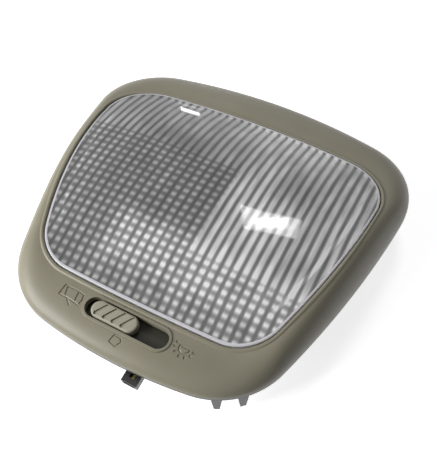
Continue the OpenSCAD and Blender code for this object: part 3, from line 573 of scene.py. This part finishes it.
# Switch knob
def make_knob():
    """The cap with its four slanted grooves, and the stem that goes down to the slider."""
    width = SLOT_W - 2 * KNOB_GAP
    knob = pill("switch_cap", KNOB_L, width, -KNOB_SUNK, KNOB_RISE,
                around=64, bevel=KNOB_R, segments=5)
    on_panel(knob, -STEP)
    for k in (-1.5, -0.5, 0.5, 1.5):
        cutter = pill("groove", width - GRIP_SHORT, GRIP_W, KNOB_RISE - GRIP_DEPTH,
                      KNOB_RISE + GRIP_DEPTH, around=24)
        cutter.data.transform(Matrix.Translation((k * GRIP_PITCH * MM, 0, 0))
                              @ Matrix.Rotation(math.radians(90 - GRIP_SLANT), 4, "Z"))
        combine(knob, on_panel(cutter, -STEP), "DIFFERENCE")
    stem = block("stem", (-STEM_L / 2, STEM_L / 2), (-STEM_W / 2, STEM_W / 2),
                 (-STEM_SUNK, STEM_ROOT - KNOB_SUNK))
    combine(knob, on_panel(stem, -STEP), "UNION")
    return knob


knob = make_knob()
smooth(knob, 40)


# Materials
class Wire:
    """A value in a node tree, which adds, subtracts and multiplies as a number does."""

    def __init__(self, tree, socket=None):
        self.tree, self.socket = tree, socket

    def add(self, kind, settings=(), inputs=(), out=0):
        """Adds any node and returns one of its outputs."""
        node = self.tree.nodes.new(kind)
        for key, value in dict(settings).items():
            setattr(node, key, value)
        for key, value in dict(inputs).items():
            if isinstance(value, Wire):
                self.tree.links.new(value.socket, node.inputs[key])
            else:
                node.inputs[key].default_value = value
        return Wire(self.tree, node.outputs[out])

    def maths(self, operation, a, b=0.0):
        return self.add("ShaderNodeMath", {"operation": operation}, {0: a, 1: b})

    def __add__(self, other):
        return self.maths("ADD", self, other)

    def __sub__(self, other):
        return self.maths("SUBTRACT", self, other)

    def __rsub__(self, other):
        return self.maths("SUBTRACT", other, self)

    def __mul__(self, other):
        return self.maths("MULTIPLY", self, other)

    __radd__, __rmul__ = __add__, __mul__


def blank(owner):
    """A wire in the emptied node tree of a material or a world."""
    owner.use_nodes = True
    owner.node_tree.nodes.clear()
    return Wire(owner.node_tree)


def link(w, wire, target):
    w.tree.links.new(wire.socket, target)


def material(name, base, roughness, **constants):
    """A material with a Principled shader; returns it with a wire and the shader's node."""
    m = bpy.data.materials.new(name)
    w = blank(m)
    shader = w.add("ShaderNodeBsdfPrincipled", {},
                   {"Base Color": (*base, 1), "Roughness": roughness, **constants})
    link(w, shader, w.tree.nodes.new("ShaderNodeOutputMaterial").inputs["Surface"])
    m.diffuse_color = (*base, 1)
    return m, w, shader.socket.node


def object_axes(w, axes):
    """Object coordinates, one wire for each letter."""
    place = w.add("ShaderNodeTexCoord", out="Object")
    parts = w.add("ShaderNodeSeparateXYZ", {}, {0: place}).socket.node.outputs
    return [Wire(w.tree, parts[axis]) for axis in axes]


def noise(w, scale, detail=2.0, roughness=0.5, stretch=None):
    """Noise in the object's space, with its own scale for each axis where stretch gives them."""
    place = w.add("ShaderNodeTexCoord", out="Object")
    if stretch:
        place = w.add("ShaderNodeMapping", {}, {"Vector": place, "Scale": stretch})
    return w.add("ShaderNodeTexNoise", {},
                 {"Vector": place, "Scale": scale, "Detail": detail, "Roughness": roughness})


def tint(w, factor, a, b):
    """Mixes two colours, each given as numbers or as a wire."""
    a, b = (c if isinstance(c, Wire) else (*c, 1) for c in (a, b))
    return w.add("ShaderNodeMix", {"data_type": "RGBA"}, {0: factor, 6: a, 7: b}, out=2)


def grey(level):
    return (level, level, level)


def bump(w, height, distance, strength):
    return w.add("ShaderNodeBump", {},
                 {"Height": height, "Distance": distance, "Strength": strength})


def ramp(w, v, a, b, start=0.0, end=1.0, kind="SMOOTHSTEP"):
    """Goes from start to end as a value goes from a to b, in millimetres."""
    return w.add("ShaderNodeMapRange", {"interpolation_type": kind},
                 {0: v, 1: a * MM, 2: b * MM, 3: start, 4: end})


def moulded(name, dark, light, roughness, shade=None, **constants):
    """Satin moulded plastic: a faint mottle in colour and gloss over a fine grain. A function
    given as shade goes over the colour."""
    m, w, shader = material(name, light, roughness, **constants)
    colour = tint(w, noise(w, 60, 4), dark, light)
    link(w, shade(w, colour) if shade else colour, shader.inputs["Base Color"])
    link(w, roughness - 0.06 + noise(w, 240, 3) * 0.12, shader.inputs["Roughness"])
    link(w, bump(w, noise(w, 2600, 3, 0.6), 0.02 * MM, 0.6), shader.inputs["Normal"])
    return m


def painted_bezel_shade(w, colour):
    """Paints shade into the colour: painted shade that deepens to the right, the side away from the
    light, and dark painted shade on the foot, where the rim meets the roof.
    """
    x, z = object_axes(w, "XZ")
    # painted shade: the colour goes from lighter on the left, where the light comes from, to darker
    # on the right
    painted_side_shade = ramp(w, x, -60, 60, 1.05, 0.82, kind="LINEAR")
    side_shaded = w.add("ShaderNodeVectorMath", {"operation": "SCALE"}, {0: colour, "Scale": painted_side_shade})
    # painted shade: the rim's low wall goes near black
    return tint(w, ramp(w, z, 0.8, 1.6, kind="LINEAR"), grey(0.06), side_shaded)


def rolled(name, base, worn, roughness):
    """Rolled or plated metal strip with fine lines along its length."""
    m, w, shader = material(name, base, roughness, Metallic=1.0)
    lines = noise(w, 1, 3, stretch=(200, 2600, 2600))
    link(w, tint(w, noise(w, 400, 4), base, worn), shader.inputs["Base Color"])
    link(w, roughness - 0.08 + lines * 0.16, shader.inputs["Roughness"])
    link(w, bump(w, lines, 0.01 * MM, 0.5), shader.inputs["Normal"])
    return m


def see_through(name, colour, roughness, spread, transmission, ior=1.49, scale=900, detail=3):
    """Clear plastic or glass whose polish varies a little."""
    m, w, shader = material(name, colour, roughness, IOR=ior,
                            **{"Transmission Weight": transmission})
    link(w, roughness + noise(w, scale, detail) * spread, shader.inputs["Roughness"])
    return m, w, shader


# Painted light and shade on the face of the lens: how much each box adds, its left, right, near and
# far side in millimetres, and how soft these sides are
PLAIN_PAINTED_LIGHT = 0.52
PAINTED_LIGHT_BOXES = (
    (0.72, -20, 46, -33, -19, 5),  # bright field on the near side
    (0.14, -24, 38, -44, -30, 3),  # strip nearest to the switch
    (0.22, -32, 36, 33, 60, 3),  # far strip
    (0.28, -4, 32, 27, 46, 4),  # its brightest part
    (0.18, 6, 60, -44, 60, 2),  # right half
    (0.3, 10, 34, -16, 8, 5),  # round the window's reflection
    (0.22, 37, 60, -10, 30, 4),  # right end
    (0.22, 12, 22, 9, 24, 4),  # bright patch before the far strip
    (-0.2, -26, -6, 11, 20, 4),  # dark patches over the bowl's far wall
    (-0.2, 20, 34, 4, 20, 4),
)


def box_on_lens(w, x, y, left, right, near, far, soft):
    """1 inside a box and 0 outside, with soft sides."""
    return (ramp(w, x, left - soft, left + soft) * ramp(w, x, right + soft, right - soft)
            * ramp(w, y, near - soft, near + soft) * ramp(w, y, far + soft, far - soft))


def painted_side_streak(w, x, y):
    """A painted highlight: a narrow streak that follows each bowed side of the lens, stronger on
    the right.
    """
    across = w.maths("ABSOLUTE", x) - (LENS_SHAPE[0] - LENS_R) * MM
    along = y - LENS_Y * MM
    inside = LENS_R * MM - w.maths("SQRT", across * across + along * along)
    width = ramp(w, inside, 3.9, 4.6) * ramp(w, inside, 5.8, 5.1)
    length = ramp(w, y, -31, -26) * ramp(w, y, 20, 14)
    return width * length * (0.35 + 0.9 * ramp(w, x, -5, 5))


def painted_flute_lines(w, x, y):
    """Painted light and shade of the flutes: bright lines between their roots, and painted shade
    over their roots and those of the cross flutes.
    """
    def turns(v, pitch):
        return 0.5 - w.maths("COSINE", v * (2 * math.pi / (pitch * MM))) * 0.5

    crossed = w.maths("MAXIMUM", ramp(w, x, *CROSS_RIGHT) * ramp(w, y, *CROSS_FAR),
                      ramp(w, y, *CROSS_NEAR))
    dots = 1 - crossed * (1 - turns(y + noise(w, 120) * 0.5 * MM, CROSS_PITCH)) * 0.6
    bent = x + (noise(w, 90) - 0.5) * 0.4 * MM
    return (turns(bent, FLUTE_PITCH) * 0.8 + turns(bent, FLUTE_PITCH / 2) * 0.25) * dots


def make_fluted():
    """The fluted underside, with painted shade along the roots of its flutes for the dark lines
    they show.
    """
    m, w, shader = see_through("clear_flutes", grey(0.95), 0.1, 0.08, 0.96)
    lines = painted_flute_lines(w, *object_axes(w, "XY"))
    link(w, tint(w, lines, grey(0.35), grey(1)), shader.inputs["Base Color"])
    return m


def make_face():
    """The face of the field: polished, with the lens's light and shade painted into its colour:
    boxes of painted light and shade, a painted highlight along the sides, and painted bright and
    dark lines over the flutes.
    """
    m, w, shader = see_through("clear_face", grey(0.9), 0.02, 0.04, 0.2)
    x, y = object_axes(w, "XY")
    painted_light = PLAIN_PAINTED_LIGHT + painted_side_streak(w, x, y)
    for amount, *box in PAINTED_LIGHT_BOXES:
        painted_light = painted_light + amount * box_on_lens(w, x, y, *box)
    # streaky noise over the painted light
    grain = noise(w, 1, stretch=(420, 90, 90)) * 1.3 + 0.36
    tone = painted_light * (0.16 + w.maths("POWER", painted_flute_lines(w, x, y), 1.9) * 1.05) * grain
    link(w, tint(w, tone, grey(0.02), grey(1)), shader.inputs["Base Color"])
    return m


def make_silvered():
    """Silver paint, with painted light: lighter at the near side of the bowl, and painted shade:
    darker and grey at the far side.
    """
    m, w, shader = material("silvered_bowl", (0.6, 0.6, 0.59), 0.45)
    near = tint(w, noise(w, 120, 3), (0.84, 0.84, 0.83), (0.95, 0.95, 0.94))
    far = tint(w, noise(w, 90, 3), grey(0.24), (0.34, 0.34, 0.335))
    y, = object_axes(w, "Y")
    # painted light at the near side of the bowl, painted shade at the far side
    link(w, tint(w, ramp(w, y, -8, 24), near, far), shader.inputs["Base Color"])
    link(w, 0.35 + noise(w, 300, 3) * 0.2, shader.inputs["Roughness"])
    link(w, bump(w, noise(w, 700, 2), 0.1 * MM, 0.4), shader.inputs["Normal"])
    return m


DULL = {"Specular IOR Level": 0.3}  # less gloss than plain plastic
# the bezel's colour carries painted shade on its right side and its foot
greige = moulded("greige_moulding", (0.225, 0.208, 0.152), (0.278, 0.258, 0.19), 0.37,
                 painted_bezel_shade, **DULL)
greige_knob = moulded("knob_moulding", (0.32, 0.30, 0.235), (0.38, 0.36, 0.28), 0.42, **DULL)
housing_black = moulded("housing_moulding", (0.035, 0.035, 0.037), (0.06, 0.06, 0.063), 0.5)
switch_black = moulded("switch_moulding", grey(0.01), (0.02, 0.02, 0.018), 0.35)
carrier_olive = moulded("carrier_moulding", (0.022, 0.021, 0.014), (0.034, 0.032, 0.022), 0.5,
                        **DULL)
brass = rolled("brass_strip", (0.72, 0.53, 0.24), (0.6, 0.42, 0.2), 0.3)
nickel = rolled("nickel_cap", (0.66, 0.64, 0.6), (0.55, 0.52, 0.46), 0.25)
steel = rolled("spring_strip", (0.5, 0.5, 0.52), (0.38, 0.38, 0.39), 0.32)
tinned = rolled("tinned_strip", (0.62, 0.62, 0.61), (0.5, 0.5, 0.49), 0.35)
clear, fluted, silvered = make_face(), make_fluted(), make_silvered()
frosted = see_through("frosted_rim", (0.93, 0.92, 0.96), 0.25, 0.1, 0.4)[0]
glass = see_through("lamp_glass", (0.96, 0.97, 0.98), 0.01, 0.03, 1.0,
                    ior=1.5, scale=500, detail=2)[0]

NODE_FINISH = {
    "reflector": silvered, "rear_housing": housing_black, "lamp_glass": glass,
    "lamp_cap_left": nickel, "lamp_cap_right": nickel, "lamp_filament": steel,
    "lamp_contact_left": tinned, "lamp_contact_right": tinned, "feed_strip": tinned,
    "switched_strip": tinned, "slider_carrier": carrier_olive, "contact_bridge": brass,
    "detent_spring": steel, "switch_base": switch_black, "connector_housing": switch_black,
    "terminal_feed": brass, "terminal_door": brass, "terminal_earth": brass,
    "retaining_clip_left": steel, "retaining_clip_right": steel, "housing_screws": steel,
    "switch_screws": steel,
}


def finish_piece(o, m, body, stands_for):
    """Material, slot, body and replaced node of a finished piece."""
    o.data.materials.clear()
    o.data.materials.append(m)
    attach(o, body)
    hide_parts(stands_for)


def inset_of(x, y):
    """How far each place lies in from the lens's outer edge, in millimetres."""
    a = outline(LENS_SHAPE, LENS_GAP)
    ab = np.roll(a, -1, 0) - a
    ap = np.stack([x, y], 1)[:, None] - a
    t = np.clip((ap * ab).sum(2) / (ab * ab).sum(1), 0, 1)
    return np.hypot(*np.moveaxis(ap - t[..., None] * ab, 2, 0)).min(1)


def finish_lens(lens):
    """Unpolished flutes on the underside and a frosted rim round the field."""
    for m in (fluted, frosted):
        lens.data.materials.append(m)
    n = len(lens.data.polygons)
    centre, normal = np.empty(n * 3), np.empty(n * 3)
    lens.data.polygons.foreach_get("center", centre)
    lens.data.polygons.foreach_get("normal", normal)
    centre, down = centre.reshape(-1, 3) / MM, normal.reshape(-1, 3)[:, 2] < 0
    rim = inset_of(centre[:, 0], centre[:, 1]) < np.where(down, SKIRT_T + 0.1, LENS_RIM - CLEAR_TO)
    which = np.where(rim, 2, np.where(down, 1, 0))
    lens.data.polygons.foreach_set("material_index", which.astype(np.int32))


def finish_nodes():
    """Materials for the carried-over nodes, with smooth round faces and sharp edges."""
    for name, finish in NODE_FINISH.items():
        o = nodes[name]
        o.data.materials.clear()
        o.data.materials.append(finish)
        o.data.polygons.foreach_set("use_smooth", np.ones(len(o.data.polygons), bool))
        o.modifiers.new("Weld", "WELD").merge_threshold = 2e-6
        o.modifiers.new("Edges", "EDGE_SPLIT").split_angle = math.radians(33)


finish_piece(bezel, greige, "light_body", "bezel")
finish_piece(lens, clear, "light_body", "lens")
finish_lens(lens)
finish_piece(knob, greige_knob, "slider", "switch_knob")
finish_nodes()


# Camera, light and floor
AZIMUTH, ELEVATION, ROLL = 0.5055, 0.9672, 0.0211  # in radians, fitted to the photo
DISTANCE, ASIDE, ABOVE = 206.92, -3.97, 6.65
FOCAL, SENSOR = 45.86, 36
LIGHTS = (  # name, place and target in metres, size, power in watts and turn in degrees
    ("key", (-0.45, -0.42, 0.34), (0, 0, 0), (0.42, 0.42), 6.3, 0),
    ("far", (-0.17, 0.63, 0.24), (0, 0, 0), (0.35, 0.35), 0.15, 0),
    ("far_low", (-0.275, 0.59, 0.045), (-0.02, 0.03, 0.015), (0.035, 0.04), 0.03, 0),
    ("window", (-0.040, 0.274, 0.498), (0.025, -0.003, 0.016), (0.155, 0.10), 0.42, 0),
    ("window_core", (-0.046, 0.270, 0.490), (0.025, -0.003, 0.016), (0.10, 0.05), 0.20, 17),
)
FLOOR_SIZE, FLOOR_GAP = 6, 0.2 * MM


def make_camera():
    """The photo's camera, placed round the object's origin."""
    level = math.cos(ELEVATION)
    back = Vector((math.sin(AZIMUTH) * level, -math.cos(AZIMUTH) * level, math.sin(ELEVATION)))
    right = Vector((math.cos(AZIMUTH), math.sin(AZIMUTH), 0))
    up = back.cross(right)
    data = bpy.data.cameras.new("camera")
    data.lens, data.sensor_width = FOCAL, SENSOR
    data.clip_start, data.clip_end = 0.01, 50
    camera = bpy.data.objects.new("camera", data)
    bpy.context.scene.collection.objects.link(camera)
    x = right * math.cos(ROLL) - up * math.sin(ROLL)
    y = right * math.sin(ROLL) + up * math.cos(ROLL)
    m = Matrix((x, y, back)).transposed().to_4x4()
    m.translation = (back * DISTANCE - right * ASIDE - up * ABOVE) * MM
    camera.matrix_world = m
    bpy.context.scene.camera = camera


def soft_light(name, place, target, size, power, turn):
    """A rectangular light aimed at its target and turned about its own axis."""
    data = bpy.data.lights.new(name, "AREA")
    data.shape = "RECTANGLE"
    data.size, data.size_y = size
    data.energy = power
    o = bpy.data.objects.new(name, data)
    bpy.context.scene.collection.objects.link(o)
    aim = (Vector(target) - Vector(place)).to_track_quat("-Z", "Y").to_matrix().to_4x4()
    o.matrix_world = Matrix.Translation(place) @ aim @ Matrix.Rotation(math.radians(turn), 4, "Z")


def background_seen(w):
    """1 for the rays that show the background: straight, in a reflection or through glass."""
    seen = w.add("ShaderNodeLightPath").socket.node.outputs
    camera, glossy, through = (Wire(w.tree, seen[name]) for name in (
        "Is Camera Ray", "Is Glossy Ray", "Is Transmission Ray"))
    return w.maths("MAXIMUM", camera, w.maths("MAXIMUM", glossy, through))


def make_floor():
    """A floor that shows white, wholly so in the distance, and keeps the object's shadow."""
    take()
    bpy.ops.mesh.primitive_plane_add(size=FLOOR_SIZE, location=(0, 0, 0))
    floor = added("floor")
    put(floor, coords(floor) + [0, 0, solid_box[0].z - FLOOR_GAP])
    m = bpy.data.materials.new("pale_floor")
    w = blank(m)
    plain = w.add("ShaderNodeBsdfDiffuse", {}, {"Color": (*grey(0.82), 1)})
    place = w.add("ShaderNodeTexCoord", out="Object")
    away = w.add("ShaderNodeVectorMath", {"operation": "LENGTH"}, {0: place}, out="Value")
    white = tint(w, ramp(w, away, 150, 700), grey(0.8), grey(1))
    glow = w.add("ShaderNodeEmission", {}, {"Color": white, "Strength": 1.0})
    lit = w.add("ShaderNodeAddShader", {}, {0: plain, 1: glow})
    mixed = w.add("ShaderNodeMixShader", {}, {0: background_seen(w), 1: plain, 2: lit})
    link(w, mixed, w.tree.nodes.new("ShaderNodeOutputMaterial").inputs["Surface"])
    floor.data.materials.append(m)


def make_world():
    world = bpy.data.worlds.new("studio")
    bpy.context.scene.world = world
    w = blank(world)
    light = w.add("ShaderNodeBackground", {}, {"Color": (0.98, 0.99, 1.0, 1), "Strength": 0.05})
    white = w.add("ShaderNodeBackground", {}, {"Color": (*grey(1), 1), "Strength": 1.0})
    shown = w.add("ShaderNodeMixShader", {}, {0: background_seen(w), 1: light, 2: white})
    link(w, shown, w.tree.nodes.new("ShaderNodeOutputWorld").inputs["Surface"])


make_camera()
make_world()
make_floor()
for light in LIGHTS:
    soft_light(*light)
bpy.context.scene.view_settings.view_transform = "Standard"
